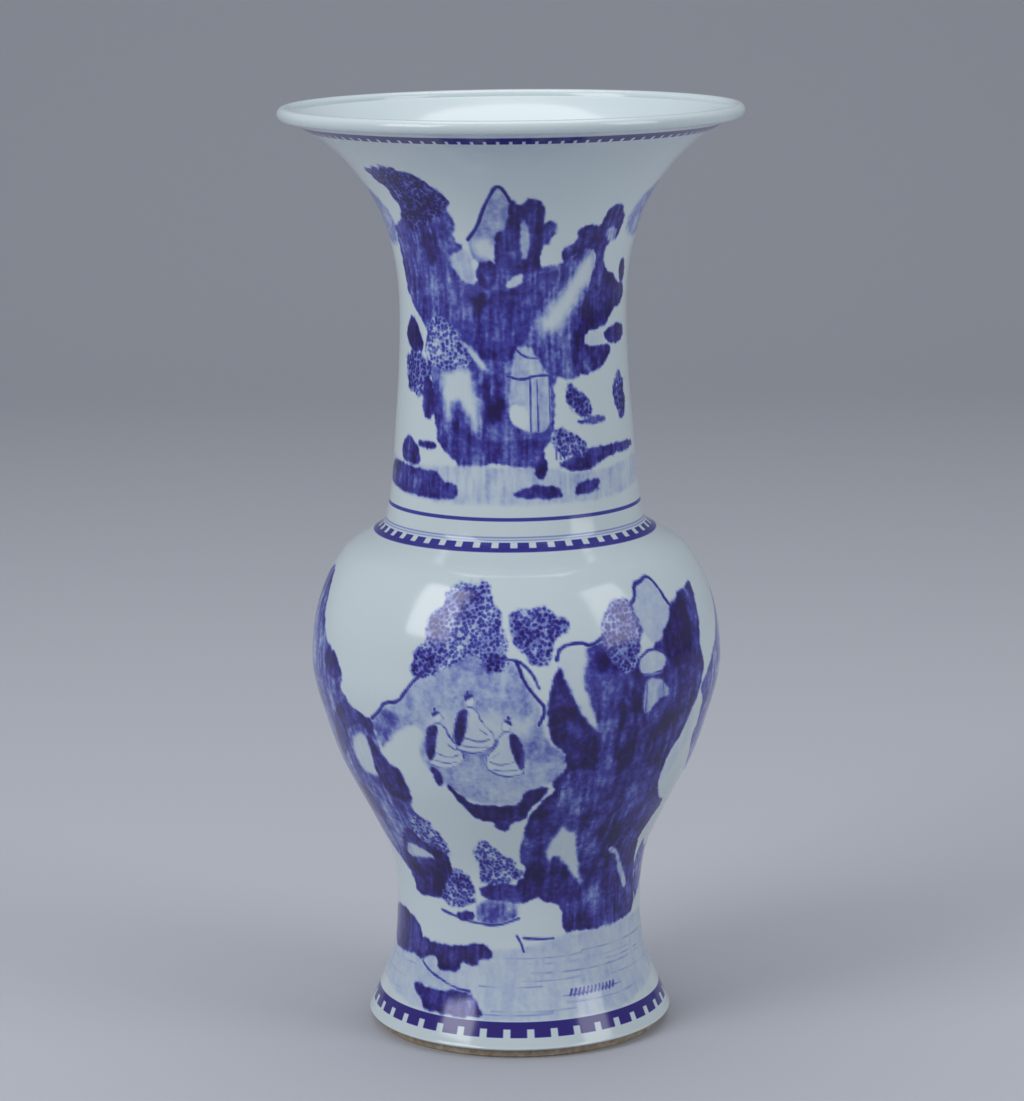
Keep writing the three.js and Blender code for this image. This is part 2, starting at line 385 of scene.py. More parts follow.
def figure(across, up, lean):
    """A seated robed figure: pale robe over the knees, dark jacket down the back, a plain round head."""
    def at(offsets):
        return [(across + lean * a, up + z) for a, z in offsets]

    robe = at(ROBE)
    area(robe, 0.06, soft=0.5, rough=0.3)
    brush(robe + robe[:1], 0.6, 0.75)
    area(at(JACKET), 0.78, soft=0.45, rough=0.3, streak=0.4)
    for fold, tone in FOLDS:
        brush(at(fold), 0.5, tone)
    angles = np.linspace(0, 2 * math.pi, HEAD_POINTS)
    middle = up + HEAD_HALF_HEIGHT
    head = [(across + HEAD_HALF_WIDTH * math.cos(a), middle + HEAD_HALF_HEIGHT * math.sin(a)) for a in angles]
    area(head, 0.02, soft=0.4, rough=0.1)
    brush(head, 0.45, 0.6)
    area(at(HAIR), 0.85, soft=0.4, rough=0.2)
    brush(at(TOPKNOT), 1.3, 0.85)


# Darker and paler brushwork inside the cliffs: points, tone and softness.
NECK_MODELLING = (
    ([(-46, 400), (-38, 402), (-36, 386), (-44, 380)], 0.92, 1.6),
    ([(-20, 372), (-12, 370), (-10, 358), (-20, 356)], 0.86, 1.6),
    ([(-16, 330), (-6, 332), (-4, 312), (-12, 306)], 0.88, 1.6),
    ([(-2, 362), (6, 366), (10, 352), (2, 346)], 0.88, 1.6),
    ([(-8, 356), (-2, 352), (-4, 338), (-9, 344)], 0.86, 1.4),
    ([(-64, 396), (-58, 396), (-56, 382), (-62, 378)], 0.85, 1.6),
    ([(42, 384), (48, 384), (50, 366), (44, 360)], 0.95, 1.6),
    ([(-36, 398), (-30, 396), (-30, 378), (-36, 376)], 0.46, 3.0),
    ([(20, 348), (28, 346), (30, 332), (20, 332)], 0.5, 3.0),
    ([(-14, 306), (-6, 308), (-6, 292), (-14, 292)], 0.5, 2.6),
    ([(30, 352), (36, 350), (36, 336), (31, 334)], 0.9, 1.6),
)
BODY_MODELLING = (
    ([(44, 214), (52, 222), (60, 226), (58, 200), (52, 190), (46, 196)], 0.94, 1.6),
    ([(30, 186), (36, 184), (40, 160), (34, 140), (28, 150)], 0.92, 1.8),
    ([(44, 170), (52, 168), (54, 150), (46, 140), (40, 150)], 0.95, 1.8),
    ([(30, 120), (40, 124), (48, 110), (44, 90), (34, 96)], 0.92, 1.8),
    ([(22, 80), (30, 76), (36, 66), (24, 60)], 0.93, 1.6),
    ([(48, 84), (56, 80), (60, 64), (50, 62)], 0.93, 1.6),
    ([(2, 96), (10, 98), (14, 86), (8, 80)], 0.93, 1.4),
    ([(-70, 130), (-62, 128), (-58, 112), (-68, 108)], 0.85, 2.0),
    ([(36, 138), (42, 134), (44, 118), (38, 114)], 0.55, 3.0),
    ([(30, 78), (36, 86), (40, 72), (34, 62)], 0.55, 3.0),
    ([(22, 206), (27, 206), (27, 196), (22, 194)], 0.9, 1.4),
    ([(-84, 210), (-78, 214), (-76, 190), (-84, 180)], 0.32, 3.0),
)


def model(strokes):
    """Lays strokes of other tones over a shape, to turn it in the light."""
    for points, tone, soft in strokes:
        area(points, tone, soft=soft, rough=1.4, streak=0.3)


def paint_left_cliff():
    rock([(-90, 228), (-84, 233), (-80, 232), (-75, 224), (-72, 212), (-67, 201), (-62, 199), (-58, 192),
          (-56, 186), (-58, 180), (-55, 176), (-50, 170), (-45, 169), (-45, 160), (-44, 148),
          (-38, 144), (-37, 130), (-40, 124), (-36, 118), (-33, 112), (-30, 105), (-30, 88),
          (-32, 80), (-38, 74), (-54, 73), (-56, 82), (-62, 88), (-72, 96), (-82, 108), (-92, 120),
          (-94, 140), (-91, 165), (-95, 190), (-93, 212)], 0.58, 0.4)
    light([(-58, 156), (-50, 162), (-49, 150), (-48, 142), (-50, 136), (-58, 138), (-60, 148)], 0.05)
    rock([(-62, 199), (-66, 198), (-68, 190), (-62, 184), (-57, 186), (-57, 191)], 0.84)
    rock([(-56, 176), (-50, 170), (-45, 169), (-46, 158), (-50, 166), (-56, 162), (-60, 158),
          (-62, 150), (-70, 140), (-72, 150), (-64, 168)], 0.8)
    rock([(-50, 160), (-46, 156), (-45, 148), (-39, 144), (-37, 130), (-40, 126), (-48, 128),
          (-50, 140), (-49, 150)], 0.92)
    foliage([(-42, 120), (-34, 118), (-30, 108), (-28, 98), (-34, 96), (-44, 106)], 0.5)
    rock([(-55, 98), (-48, 112), (-42, 106), (-36, 100), (-30, 100), (-30, 82), (-38, 74),
          (-54, 73), (-56, 84), (-60, 90)], 0.88)
    light([(-55, 96), (-50, 102), (-44, 100), (-36, 96), (-44, 94), (-54, 93)], 0.12, 1)


def paint_terrace():
    area([(-45, 169), (-42, 172), (-39, 178), (-34, 180), (-30, 190), (-26, 195), (-22, 205),
          (-10, 210), (-2, 204), (2, 196), (5, 188), (6, 182), (8, 162), (14, 158), (14, 144),
          (8, 140), (-4, 138), (-22, 138), (-28, 148), (-30, 156), (-26, 166), (-30, 170),
          (-36, 165), (-40, 158), (-44, 158)], 0.26, soft=1.5, streak=0.3)
    area([(-45, 169), (-40, 176), (-34, 174), (-38, 164), (-42, 156), (-44, 154)], 0.5, soft=1.5)
    light([(-28, 172), (-20, 180), (-8, 178), (4, 176), (4, 164), (-26, 162)], 0.08, 4)


def paint_terrace_trees():
    foliage([(-21, 234), (-18, 238), (-13, 238.5), (-8, 236), (-6, 230), (-5, 224), (-3, 216),
             (-2, 208), (-3, 200), (-6, 197), (-10, 206), (-16, 202), (-22, 197), (-28, 193),
             (-31, 197), (-28, 206), (-26, 212), (-25, 222), (-22, 226)], 0.46)
    foliage([(-20, 235), (-12, 237), (-10, 230), (-20, 229)], 0.64)
    foliage([(-26, 222), (-22, 225), (-20, 216), (-25, 214)], 0.62)
    foliage([(-29, 207), (-24, 206), (-20, 196), (-28, 194), (-30, 198)], 0.68)
    foliage([(-9, 210), (-4, 206), (-4, 198), (-9, 198)], 0.72)
    foliage([(-1, 226), (4, 226), (8, 228), (11, 223), (15, 221), (15, 216), (10, 213), (9, 203),
             (5, 200), (2, 206), (-1, 213), (-2, 220)], 0.5)


def paint_right_cliff():
    rock([(52, 219), (54, 220), (57, 226), (62, 226), (67, 229), (66, 222), (64, 210), (62, 200),
          (64, 190), (62, 178), (60, 168), (57, 155), (53, 148), (52, 140), (53, 130), (58, 122),
          (66, 118), (62, 108), (58, 102), (62, 92), (66, 80), (70, 60), (50, 58), (45, 52),
          (41, 56), (30, 59), (20, 58), (20, 72), (12, 75), (8, 78), (0, 74), (-2, 84), (4, 90),
          (0, 100), (2, 112), (4, 124), (8, 132), (12, 136), (10, 142), (15, 148), (14, 158),
          (10, 162), (8, 176), (9, 190), (12, 202), (20, 208), (28, 210), (38, 196), (42, 206),
          (46, 212), (50, 218)], 0.82, 0.2)
    rock([(62, 178), (66, 172), (68, 158), (66, 152), (70, 140), (75, 130), (90, 120), (93, 150),
          (91, 180), (92, 205), (88, 222), (80, 205), (70, 190)], 0.55, 0.4)
    rock([(64, 100), (72, 90), (82, 94), (88, 84), (80, 72), (68, 62)], 0.6, 0.3)
    area([(21, 196), (30, 188), (33, 160), (30, 132), (24, 136), (24, 166)], 0.62, soft=3, streak=0.3)
    rock([(8, 178), (12, 182), (18, 176), (24, 160), (24, 140), (14, 150), (14, 160)], 0.92)
    model(BODY_MODELLING)


def paint_right_cliff_lights():
    light([(12, 208), (19, 209), (20, 203), (18, 196), (19, 186), (24, 166), (19, 172), (15, 186),
           (12, 197), (11, 203)], 0.02, 1.3)
    light([(11, 106), (14, 112), (16, 118), (18, 114), (22, 112), (24, 102), (27, 90), (30, 80),
           (25, 86), (20, 95), (15, 100), (12, 96)], 0.03, 1.6)
    light([(60, 172), (62, 164), (64, 152), (60, 144), (58, 136), (54, 130), (52, 136), (54, 146),
           (58, 156)], 0.05)
    light([(40, 100), (46, 98), (52, 88), (60, 76), (57, 73), (51, 84), (46, 94), (40, 98)], 0.2, 0.8)


def paint_pointed_rock():
    foliage([(24, 214), (26, 220), (28, 226), (32, 228), (36, 225), (38, 216), (37, 204), (34, 196),
             (30, 194), (26, 200)], 0.52)
    area([(36, 224), (39, 232), (43, 234.5), (46, 235), (48, 231), (50, 226), (51, 219), (47, 212),
          (44, 206), (40, 206), (38, 212)], 0.14)
    light([(36, 200), (40, 203), (45, 200), (45, 192), (38, 190), (35, 194)], 0.1, 0.8)
    light([(38, 190), (44, 188), (47, 180), (42, 178), (38, 170), (36, 180)], 0.2, 0.8)


def paint_terrace_edge():
    area([(-24, 150), (-22, 140), (-16, 131), (1, 130), (3, 138), (14, 144), (14, 154), (0, 152)], 0.2,
         soft=1.2, streak=0.4)
    rock([(-23, 140), (-18, 134), (-16, 130), (-10, 129), (1, 129), (2, 137), (10, 140), (8, 134),
          (4, 128), (2, 121), (-2, 120), (-4, 114), (-8, 116), (-8, 120), (-14, 121), (-18, 127)], 0.88)
    rock([(-27, 148), (-24, 147), (-23, 140), (-26, 138)])
    light([(13, 122), (13, 146), (18, 148), (24, 147), (28, 140), (26, 122)], 0.5, 1)


def paint_boat_and_trees():
    foliage([(-16, 108), (-10, 106), (-6, 100), (0, 96), (2, 90), (-6, 84), (-16, 82), (-18, 92)], 0.44)
    rock([(-18, 84), (2, 85), (7, 80), (6, 76), (-2, 74), (-16, 76)], 0.76)
    area([(-19, 76), (0, 76), (0, 66), (-8, 63), (-20, 62)], 0.5, soft=1.5, streak=0.4)
    foliage([(-30, 92), (-24, 90), (-20, 80), (-20, 72), (-36, 72), (-36, 80)], 0.5)


def paint_lake_and_banks():
    light([(-55, 72), (-40, 74), (-36, 70), (-24, 64), (-10, 63), (0, 68), (4, 74), (12, 75),
           (20, 72), (20, 56), (2, 57), (0, 52), (-14, 51), (-18, 54), (-30, 51), (-50, 50),
           (-54, 60)], 0.0, 0.8)
    area([(-92, 51), (-14, 51), (0, 52), (20, 57), (40, 58), (92, 58), (92, 18), (-92, 18)], 0.11,
         soft=1, streak=0.3)
    rock([(-84, 42), (-70, 40), (-54, 42), (-50, 40), (-46, 44), (-40, 44), (-40, 38), (-28, 38),
          (-28, 44), (-20, 42), (-18, 46), (-13, 46), (-13, 51), (-18, 54), (-28, 51), (-50, 50),
          (-54, 58), (-62, 62), (-78, 62), (-86, 57), (-88, 49)])
    rock([(-54, 29), (-40, 28.5), (-22, 30), (-18, 25), (-14, 18.5), (-28, 18.5), (-44, 19),
          (-46, 23), (-50, 25)], 0.82)
    rock([(-32, 67), (-22, 70), (-20, 66), (-26, 64)], 0.8)


def draw_outlines():
    for line in ([(-45, 169), (-41, 174), (-39, 179), (-34, 180), (-31, 187), (-28, 193), (-24, 199)],
                 [(0, 203), (2, 193), (5, 186), (8, 180), (6, 172)],
                 [(35, 224), (38, 227), (39, 233), (42, 233.5), (45, 235.5), (47, 234), (49, 228),
                  (50, 223), (52, 219)],
                 [(11, 203), (12, 209), (18, 210.5), (21, 208), (25, 212)]):
        brush(line, 1.4, 0.88)
    for line in ([(-38, 68), (-30, 66), (-22, 64), (-10, 63), (0, 67)],
                 [(-50, 40), (-44, 36), (-38, 34), (-30, 31), (-22, 30)],
                 [(2, 57), (10, 56), (16, 56)], [(-1, 58), (1, 54), (2, 50)],
                 [(-6, 203), (0, 204), (4, 198), (6, 190)], [(-10, 201), (-4, 205)],
                 [(33, 194), (38, 191), (44, 192)], [(35, 199), (40, 204), (46, 199)],
                 [(38, 190), (38, 172)], [(44, 190), (44, 178)]):
        brush(line, 1.0, 0.8)


def draw_fences():
    for across in range(13, 28, 2):
        brush([(across, 146), (across + 0.6, 124)], 0.7, 0.85)
    brush([(12, 137), (20, 139), (28, 136)], 0.8, 0.85)
    for across in range(22, 46, 2):
        brush([(across, 27.5), (across + 1.2, 30.5)], 0.8, 0.85)
    brush([(19, 28), (32, 28.4), (50, 28.6)], 0.6, 0.6)


def draw_ripples():
    for up, low, high in ((47, -8, 30), (44, -4, 60), (39.5, 5, 75), (36, -10, 34), (33, -18, 10),
                          (25, 20, 60), (22, -12, 24), (48.5, 30, 80), (42, 40, 88), (34, 45, 88),
                          (20.5, -20, 14), (37, -88, -54), (30, -88, -58), (24, -88, -56)):
        brush([(low, up), ((low + high) / 2, up - 0.4), (high, up + 0.2)], 0.7, 0.34)


def paint_body():
    paint_left_cliff()
    paint_terrace()
    paint_terrace_trees()
    paint_right_cliff()
    paint_right_cliff_lights()
    paint_pointed_rock()
    paint_terrace_edge()
    paint_boat_and_trees()
    paint_lake_and_banks()
    draw_outlines()
    draw_fences()
    draw_ripples()
    figure(-22, 172, 1)
    figure(-12.5, 181, 1)
    figure(-3, 169, -1)


def paint():
    for turn in (0, 180):
        side["turn"] = turn
        paint_neck()
        paint_body()


def turned_piece(name, outline):
    """A closed outline of radius and height, spun about the axis."""
    bpy.ops.object.select_all(action="DESELECT")
    bpy.ops.mesh.primitive_circle_add(vertices=len(outline), radius=1)
    piece = bpy.context.object
    piece.name = name
    piece.data.name = name
    for vertex, (radius, height) in zip(piece.data.vertices, outline):
        vertex.co = (radius * MM, 0, height * MM)
    spin = piece.modifiers.new("spin", "SCREW")
    spin.angle = 2 * math.pi
    spin.steps = TURN_STEPS
    spin.render_steps = TURN_STEPS
    spin.use_merge_vertices = True
    spin.merge_threshold = MERGE_DISTANCE * MM
    bpy.ops.object.modifier_apply(modifier="spin")
    bpy.ops.object.mode_set(mode="EDIT")
    bpy.ops.mesh.select_all(action="SELECT")
    bpy.ops.mesh.normals_make_consistent(inside=False)
    bpy.ops.object.mode_set(mode="OBJECT")
    bpy.ops.object.shade_smooth_by_angle(angle=math.radians(SMOOTH_DEGREES))
    return piece


def rows_between(low, high, spacing):
    return np.linspace(low, high, max(2, int(round((high - low) / spacing)) + 1))


def outer_line(low, high):
    return [(float(outer_radius(z)), float(z)) for z in rows_between(low, high, ROW_STEP)]


def inner_line(low, high):
    return [(float(inner_radius(z)), float(z)) for z in rows_between(low, high, INNER_ROW_STEP)][::-1]


def wall_line(low, high):
    return outer_line(low, high) + inner_line(low, high)


def arc(radius, height, size, first_last, points):
    angles = np.radians(np.linspace(*first_last, points))
    return [(radius + size * math.cos(a), height + size * math.sin(a)) for a in angles]


def lip_line():
    return arc(MOUTH_RADIUS - LIP_ROLL, KNOTS[-1][0] + LIP_ROLL, LIP_ROLL, LIP_DEGREES, LIP_POINTS)


def foot_line():
    """From the ledge above the base disc, down round the foot ring and up to the glazed edge."""
    foot_radius = KNOTS[0][1]
    inside_ring = FOOT_RING_RADIUS - FOOT_RING_WIDTH
    ring = [
        (inside_ring - BASE_LEDGE, BASE_TOP),
        (inside_ring, BASE_TOP),
        (inside_ring, RING_INNER_CHAMFER),
        (inside_ring + RING_INNER_CHAMFER, 0),
        (FOOT_RING_RADIUS - RING_OUTER_CHAMFER, 0),
        (FOOT_RING_RADIUS, RING_OUTER_CHAMFER),
        (FOOT_RING_RADIUS, FOOT_RING_HEIGHT),
    ]
    return ring + arc(foot_radius - FOOT_EDGE_ROUND, FOOT_RING_HEIGHT + FOOT_EDGE_ROUND, FOOT_EDGE_ROUND,
                      FOOT_EDGE_DEGREES, FOOT_EDGE_POINTS)


# A point this near the outer line, in millimetres, carries paint. The inner wall doesn't.
PAINT_DEPTH = 1.5


def store_painting(piece):
    """Gives each point the canvas's three layers, read at its own place."""
    count = len(piece.data.vertices)
    place = np.empty(count * 3)
    piece.data.vertices.foreach_get("co", place)
    x, y, z = place.reshape(-1, 3).T / MM
    outside = np.hypot(x, y) > outer_radius(z) - PAINT_DEPTH
    column = (np.degrees(np.arctan2(x, -y)) + 180) / DEGREE_STEP
    row = np.clip(z / HEIGHT_STEP, 0, ROWS - 2)
    c0 = column.astype(int) % COLUMNS
    c1 = (c0 + 1) % COLUMNS
    r0 = row.astype(int)
    fx, fy = column % 1, row - r0
    colours = np.zeros((count, 4))
    for channel, layer in enumerate((wash, ink, leaf)):
        low = layer[r0, c0] * (1 - fx) + layer[r0, c1] * fx
        high = layer[r0 + 1, c0] * (1 - fx) + layer[r0 + 1, c1] * fx
        colours[:, channel] = (low * (1 - fy) + high * fy) * outside
    colours[:, 3] = outside
    attribute = piece.data.color_attributes.new("painting", "FLOAT_COLOR", "POINT")
    attribute.data.foreach_set("color", colours.ravel())


def linear(hex_colour):
    channels = [int(hex_colour[i:i + 2], 16) / 255 for i in (0, 2, 4)]
    return [c / 12.92 if c <= 0.04045 else ((c + 0.055) / 1.055) ** 2.4 for c in channels] + [1]


def add(tree, kind, links=None, **settings):
    """Adds a node with its settings, and links or sets its inputs."""
    node = tree.nodes.new(kind)
    for name, value in settings.items():
        setattr(node, name, value)
    for socket, value in (links or {}).items():
        if isinstance(value, bpy.types.NodeSocket):
            tree.links.new(value, node.inputs[socket])
        else:
            node.inputs[socket].default_value = value
    return node


def new_material(name):
    material = bpy.data.materials.new(name)
    material.use_nodes = True
    material.node_tree.nodes.clear()
    return material, material.node_tree


MATH = "ShaderNodeMath"
MAP_RANGE = "ShaderNodeMapRange"
NOISE = "ShaderNodeTexNoise"

# Painted borders. Millimetres: foot and top of the band, foot and top of its teeth.
# Then the number of teeth, where the first one starts, the bare share and the tone.
BORDERS = (
    (443.4, 446.6, 443.2, 444.8, 104, 0.2, 0.3, 0.86),
    (248.9, 252.7, 250.5, 252.8, 46, 0.3, 0.42, 0.72),
    (10.4, 17.4, 10.2, 14.2, 39, 0.74, 0.34, 0.8),
)
BORDER_BLUR = 0.2
TOOTH_BLUR = 0.03

# Drawn rings: height and half thickness in millimetres, and tone.
RINGS = ((263.2, 0.8, 0.66), (254.9, 0.35, 0.3), (253.7, 0.3, 0.26))
RING_OUTER_BLUR = 0.25
RING_INNER_BLUR = 0.15

# Noise cells to the metre, so 420 is a cell of 2.4 mm. The leaf dabs are 1.8 mm across.
GRAIN_CELLS = 420.0
POOL_CELLS = 130.0
DAB_CELLS = 560.0
WAVER_CELLS = 55.0
GRIT_CELLS = 300.0

# The blue by its strength, from bare glaze through thin wash to where it pools.
COBALT = (
    (0.0, "C9D6DA"), (0.16, "A9B8D2"), (0.36, "7482C0"),
    (0.58, "4546A2"), (0.8, "2F2479"), (1.0, "1F1450"),
)


def between(tree, value, low, high, blur):
    """1 between low and high and 0 outside them, with both edges blurred."""
    above = add(tree, MAP_RANGE, {"Value": value, "From Min": low - blur, "From Max": low + blur})
    below = add(tree, MAP_RANGE, {"Value": value, "From Min": high + blur, "From Max": high - blur})
    return add(tree, MATH, {0: above.outputs[0], 1: below.outputs[0]}, operation="MULTIPLY").outputs[0]


def tooth_band(tree, angle, height, low, high, tooth_low, tooth_high, count, phase, bare_share):
    """A blue band with bare square teeth, from real heights and a count round the vase."""
    turns = add(tree, MATH, {0: angle, 1: count / (2 * math.pi)}, operation="MULTIPLY").outputs[0]
    shifted = add(tree, MATH, {0: turns, 1: phase}, operation="ADD").outputs[0]
    part = add(tree, MATH, {0: shifted}, operation="FRACT").outputs[0]
    band = between(tree, height, low * MM, high * MM, BORDER_BLUR * MM)
    rise = between(tree, height, tooth_low * MM, tooth_high * MM, BORDER_BLUR * MM)
    across = between(tree, part, TOOTH_BLUR, bare_share, TOOTH_BLUR)
    tooth = add(tree, MATH, {0: across, 1: rise}, operation="MULTIPLY").outputs[0]
    bare = add(tree, MATH, {0: 1.0, 1: tooth}, operation="SUBTRACT").outputs[0]
    return add(tree, MATH, {0: band, 1: bare}, operation="MULTIPLY").outputs[0]


def brushed_strength(tree, place, layers):
    """The canvas's wash, grained and pooled, with its leaf dabs and its lines."""
    grain = add(tree, NOISE, {"Vector": place, "Scale": GRAIN_CELLS, "Detail": 4.0}).outputs["Fac"]
    pools = add(tree, NOISE, {"Vector": place, "Scale": POOL_CELLS, "Detail": 3.0}).outputs["Fac"]
    dabs = add(tree, "ShaderNodeTexVoronoi", {"Vector": place, "Scale": DAB_CELLS}).outputs["Distance"]
    dab = add(tree, MAP_RANGE, {"Value": dabs, "From Min": 0.72, "From Max": 0.36,
              "To Min": -0.2, "To Max": 0.2}).outputs[0]
    leaves = add(tree, MATH, {0: dab, 1: layers.outputs["Blue"]}, operation="MULTIPLY").outputs[0]
    mottle = add(tree, MAP_RANGE, {"Value": grain, "From Min": 0.25, "From Max": 0.75,
                 "To Min": -0.14, "To Max": 0.14}).outputs[0]
    pooling = add(tree, MAP_RANGE, {"Value": pools, "From Min": 0.3, "From Max": 0.7,
                  "To Min": -0.16, "To Max": 0.16}).outputs[0]
    uneven = add(tree, MATH, {0: mottle, 1: pooling}, operation="ADD").outputs[0]
    present = add(tree, MAP_RANGE, {"Value": layers.outputs["Red"], "From Min": 0.02,
                  "From Max": 0.4}).outputs[0]
    carried = add(tree, MATH, {0: uneven, 1: present}, operation="MULTIPLY").outputs[0]
    toned = add(tree, MATH, {0: layers.outputs["Red"], 1: carried}, operation="ADD").outputs[0]
    leafy = add(tree, MATH, {0: toned, 1: leaves}, operation="ADD").outputs[0]
    return add(tree, MATH, {0: leafy, 1: layers.outputs["Green"]}, operation="MAXIMUM").outputs[0]


def with_borders_and_rings(tree, parts, strength):
    """Adds the borders and the drawn rings over the brushed strength."""
    height = parts.outputs["Z"]
    front = add(tree, MATH, {0: parts.outputs["Y"], 1: -1.0}, operation="MULTIPLY").outputs[0]
    angle = add(tree, MATH, {0: parts.outputs["X"], 1: front}, operation="ARCTAN2").outputs[0]
    for *border, tone in BORDERS:
        band = tooth_band(tree, angle, height, *border)
        toned = add(tree, MATH, {0: band, 1: tone}, operation="MULTIPLY").outputs[0]
        strength = add(tree, MATH, {0: strength, 1: toned}, operation="MAXIMUM").outputs[0]
    for ring_height, half, tone in RINGS:
        away = add(tree, MATH, {0: height, 1: ring_height * MM}, operation="SUBTRACT").outputs[0]
        size = add(tree, MATH, {0: away}, operation="ABSOLUTE").outputs[0]
        ring = add(tree, MAP_RANGE, {"Value": size, "From Min": (half + RING_OUTER_BLUR) * MM,
                   "From Max": (half - RING_INNER_BLUR) * MM, "To Max": tone}).outputs[0]
        strength = add(tree, MATH, {0: strength, 1: ring}, operation="MAXIMUM").outputs[0]
    return strength


# Underglaze blue on porcelain: a pale bluish white body under a thick clear glaze,
# with cobalt that runs from thin wash to a dark purple-blue where it pools. The
# bare inside of the mouth has this glaze too, where the canvas carries no paint.
def painted_porcelain():
    material, tree = new_material("cobalt_painted_porcelain")
    painting = add(tree, "ShaderNodeAttribute", attribute_name="painting")
    layers = add(tree, "ShaderNodeSeparateColor", {"Color": painting.outputs["Color"]})
    place = add(tree, "ShaderNodeTexCoord").outputs["Object"]
    parts = add(tree, "ShaderNodeSeparateXYZ", {"Vector": place})
    brushed = brushed_strength(tree, place, layers)
    total = with_borders_and_rings(tree, parts, brushed)
    outside = add(tree, MATH, {0: total, 1: painting.outputs["Alpha"]}, operation="MULTIPLY").outputs[0]
    ramp = add(tree, "ShaderNodeValToRGB", {"Fac": outside})
    while len(ramp.color_ramp.elements) < len(COBALT):
        ramp.color_ramp.elements.new(0.5)
    for element, (position, colour) in zip(ramp.color_ramp.elements, COBALT):
        element.position = position
        element.color = linear(colour)
    waver = add(tree, NOISE, {"Vector": place, "Scale": WAVER_CELLS, "Detail": 2.0}).outputs["Fac"]
    bump = add(tree, "ShaderNodeBump", {"Height": waver, "Strength": 0.06, "Distance": 0.002}).outputs[0]
    shader = add(tree, "ShaderNodeBsdfPrincipled", {"Base Color": ramp.outputs["Color"], "Roughness": 0.13,
                 "IOR": 1.5, "Normal": bump})
    add(tree, "ShaderNodeOutputMaterial", {"Surface": shader.outputs[0]})
    return material


# Porcelain without paint: the dry foot ring is matt and slightly browned by the kiln,
# and the base disc has a thin plain glaze over the same gritty body.
def unpainted_porcelain(name, colour, dark, roughness):
    material, tree = new_material(name)
    place = add(tree, "ShaderNodeTexCoord").outputs["Object"]
    grit = add(tree, NOISE, {"Vector": place, "Scale": GRIT_CELLS, "Detail": 5.0}).outputs["Fac"]
    ramp = add(tree, "ShaderNodeValToRGB", {"Fac": grit})
    ramp.color_ramp.elements[0].color = linear(dark)
    ramp.color_ramp.elements[0].position = 0.35
    ramp.color_ramp.elements[1].color = linear(colour)
    bump = add(tree, "ShaderNodeBump", {"Height": grit, "Strength": 0.3, "Distance": 0.0004}).outputs[0]
    shader = add(tree, "ShaderNodeBsdfPrincipled", {"Base Color": ramp.outputs["Color"],
                 "Roughness": roughness, "Normal": bump})
    add(tree, "ShaderNodeOutputMaterial", {"Surface": shader.outputs[0]})
    return material


def finish_piece(piece, slot, *nodes):
    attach(piece, "root")
    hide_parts(*nodes)


def vase_sections():
    """Each piece's name, outline and the nodes that it stands for, from the foot up."""
    waist, belly, collar, mouth = (
        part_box(seam)[1][2] / MM for seam in ("waist_seam", "belly_seam", "collar_seam", "mouth_seam")
    )
    lip_foot = KNOTS[-1][0]
    foot_outline = foot_line() + outer_line(FOOT_RING_HEIGHT + FOOT_EDGE_ROUND, waist)
    foot_outline += inner_line(BASE_TOP + BASE_THICKNESS, waist)
    mouth_outline = outer_line(mouth, lip_foot) + lip_line() + inner_line(mouth, lip_foot)
    return (
        ("foot_and_waist", foot_outline, ("foot_section", "waist_seam")),
        ("lower_belly", wall_line(waist, belly), ("lower_belly_section", "belly_seam")),
        ("shoulder", wall_line(belly, collar), ("shoulder_section", "collar_seam")),
        ("neck", wall_line(collar, mouth), ("neck_section", "mouth_seam")),
        ("mouth", mouth_outline, ("mouth_section",)),
    )


def leave_foot_ring_dry(piece, material):
    piece.data.materials.append(material)
    for face in piece.data.polygons:
        if face.center.z < (FOOT_RING_HEIGHT + DRY_LINE_SLACK) * MM:
            face.material_index = 1


def build_vase():
    paint()
    porcelain = painted_porcelain()
    dry = unpainted_porcelain("dry_foot_porcelain", "CFC4B0", "8E7C66", 0.6)
    bare = unpainted_porcelain("glazed_base_porcelain", "D3DADC", "BFC9CE", 0.25)
    for name, outline, nodes in vase_sections():
        piece = turned_piece(name, outline)
        store_painting(piece)
        piece.data.materials.append(porcelain)
        if name == "foot_and_waist":
            leave_foot_ring_dry(piece, dry)
        finish_piece(piece, "cobalt_painted_porcelain", *nodes)
    for name, material in (("base_disc", bare), ("base_slip_fillet", dry)):
        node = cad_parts[name]
        node.data.materials.clear()
        node.data.materials.append(material)


# Floor and backdrop, in metres: one sheet that bends up behind the vase.
FLOOR_SIZE = 7
BACKDROP_HEIGHT = 4.5
BEND_RADIUS = 1.4
BEND_SEGMENTS = 16


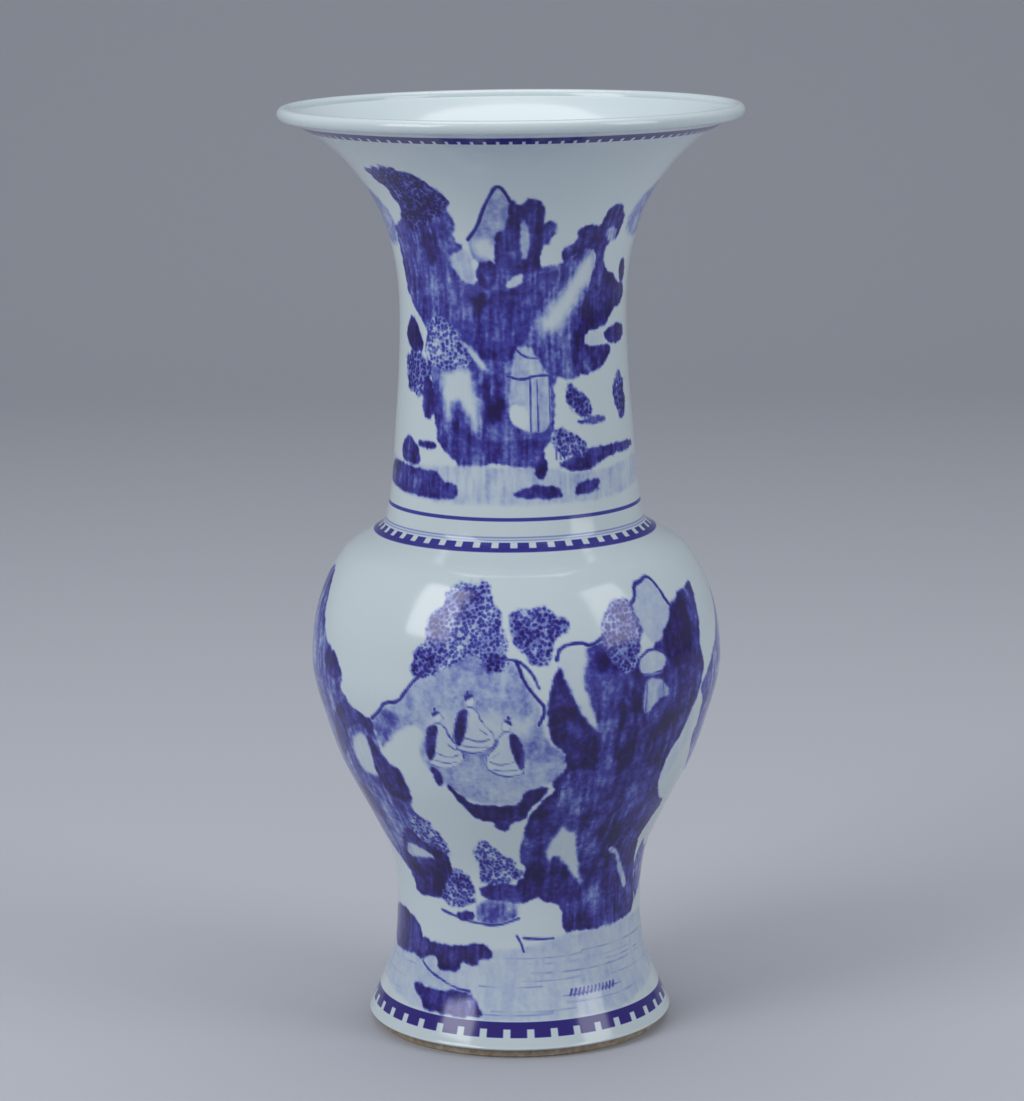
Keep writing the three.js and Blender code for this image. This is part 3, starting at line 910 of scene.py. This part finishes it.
def build_stage():
    bpy.ops.object.select_all(action="DESELECT")
    bpy.ops.mesh.primitive_plane_add(size=FLOOR_SIZE, location=(0, 0, 0))
    floor = bpy.context.object
    floor.name = "studio_floor"
    bpy.ops.object.mode_set(mode="EDIT")
    bpy.ops.mesh.select_all(action="DESELECT")
    bpy.ops.object.mode_set(mode="OBJECT")
    for edge in floor.data.edges:
        edge.select = all(floor.data.vertices[i].co.y > 0 for i in edge.vertices)
    bpy.ops.object.mode_set(mode="EDIT")
    bpy.ops.mesh.select_mode(type="EDGE")
    bpy.ops.mesh.extrude_region_move(TRANSFORM_OT_translate={"value": (0, 0, BACKDROP_HEIGHT)})
    bpy.ops.object.mode_set(mode="OBJECT")
    bend = floor.modifiers.new("bend", "BEVEL")
    bend.width = BEND_RADIUS
    bend.segments = BEND_SEGMENTS
    bend.limit_method = "ANGLE"
    bpy.ops.object.modifier_apply(modifier="bend")
    bpy.ops.object.shade_smooth()
    material, tree = new_material("studio_paper")
    shader = add(tree, "ShaderNodeBsdfPrincipled", {"Base Color": linear("B6B9C1"), "Roughness": 0.9})
    add(tree, "ShaderNodeOutputMaterial", {"Surface": shader.outputs[0]})
    floor.data.materials.append(material)


def softbox(name, place, aim, size, watts):
    panel = bpy.data.lights.new(name, "AREA")
    panel.shape = "RECTANGLE"
    panel.size = size[0]
    panel.size_y = size[1]
    panel.energy = watts
    lamp = bpy.data.objects.new(name, panel)
    bpy.context.scene.collection.objects.link(lamp)
    lamp.location = place
    direction = Vector(aim) - Vector(place)
    lamp.rotation_euler = direction.to_track_quat("-Z", "Y").to_euler()


def build_lights():
    softbox("left_softbox", (-1.7, -1.3, 1.6), (0, 0, 0.25), (1.2, 1.6), 30)
    softbox("right_softbox", (1.9, -1.0, 1.3), (0, 0, 0.25), (1.0, 1.6), 16)
    softbox("top_softbox", (0, 0.3, 2.3), (0, 0, 0.2), (1.6, 1.6), 18)
    world = bpy.data.worlds.new("studio")
    bpy.context.scene.world = world
    world.use_nodes = True
    background = world.node_tree.nodes["Background"]
    background.inputs["Color"].default_value = linear("D5D9E2")
    background.inputs["Strength"].default_value = 0.42


# Camera: a long lens a little above the mouth, looking down at the middle.
CAMERA_DISTANCE = 1.770
CAMERA_HEIGHT = 0.577
CAMERA_PITCH = 0.190
CAMERA_ROLL = -0.010
LENS = 119.9
SENSOR = 36
SHIFT = -0.003


def build_camera():
    data = bpy.data.cameras.new("camera")
    data.lens = LENS
    data.sensor_width = SENSOR
    data.shift_x = SHIFT
    camera = bpy.data.objects.new("camera", data)
    bpy.context.scene.collection.objects.link(camera)
    turn = Matrix.Rotation(math.pi / 2 - CAMERA_PITCH, 4, "X") @ Matrix.Rotation(CAMERA_ROLL, 4, "Z")
    camera.matrix_world = Matrix.Translation((0, -CAMERA_DISTANCE, CAMERA_HEIGHT)) @ turn
    bpy.context.scene.camera = camera
    bpy.context.scene.view_settings.view_transform = "Standard"


build_camera()
build_stage()
build_lights()
build_vase()
